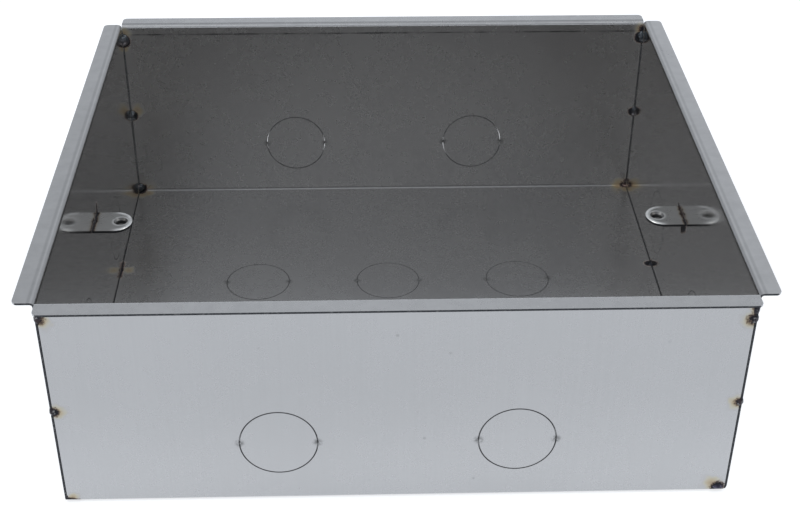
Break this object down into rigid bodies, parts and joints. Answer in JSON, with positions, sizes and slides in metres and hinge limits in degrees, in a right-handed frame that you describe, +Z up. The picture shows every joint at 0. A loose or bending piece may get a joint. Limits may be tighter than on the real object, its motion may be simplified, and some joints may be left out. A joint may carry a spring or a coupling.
{
  "type": "floor box",
  "caption": "Open stainless steel floor box: folded and tack-welded sheet with an outward rim, round knockouts in floor and walls, and inner tabs with tapped holes for a cover.",
  "frame": {"origin": "on the floor sheet's underside, under the middle of the box", "axes": "+Z up, +X along the longer walls to the right panel, +Y to the back wall"},
  "size_m": [0.3222, 0.2968, 0.1111],
  "materials": {
    "wrap_sheet": "mill finish stainless sheet with heat tint at the welds",
    "panel_sheet": "mill finish stainless sheet with heat tint at the welds",
    "tab_steel": "satin steel with straw heat tint at the welded end",
    "weld_metal": "dark oxidised weld metal"
  },
  "bodies": {
    "root": {"body_wrap": "wrap_sheet", "side_panel_left": "panel_sheet", "side_panel_right": "panel_sheet", "cover_tab_left": "tab_steel", "cover_tab_right": "tab_steel", "corner_welds_front_left": "weld_metal", "corner_welds_front_right": "weld_metal", "corner_welds_back_left": "weld_metal", "corner_welds_back_right": "weld_metal", "floor_seam_welds_left": "weld_metal", "floor_seam_welds_right": "weld_metal", "tab_weld_left": "weld_metal", "tab_weld_right": "weld_metal"}
  },
  "joints": []
}
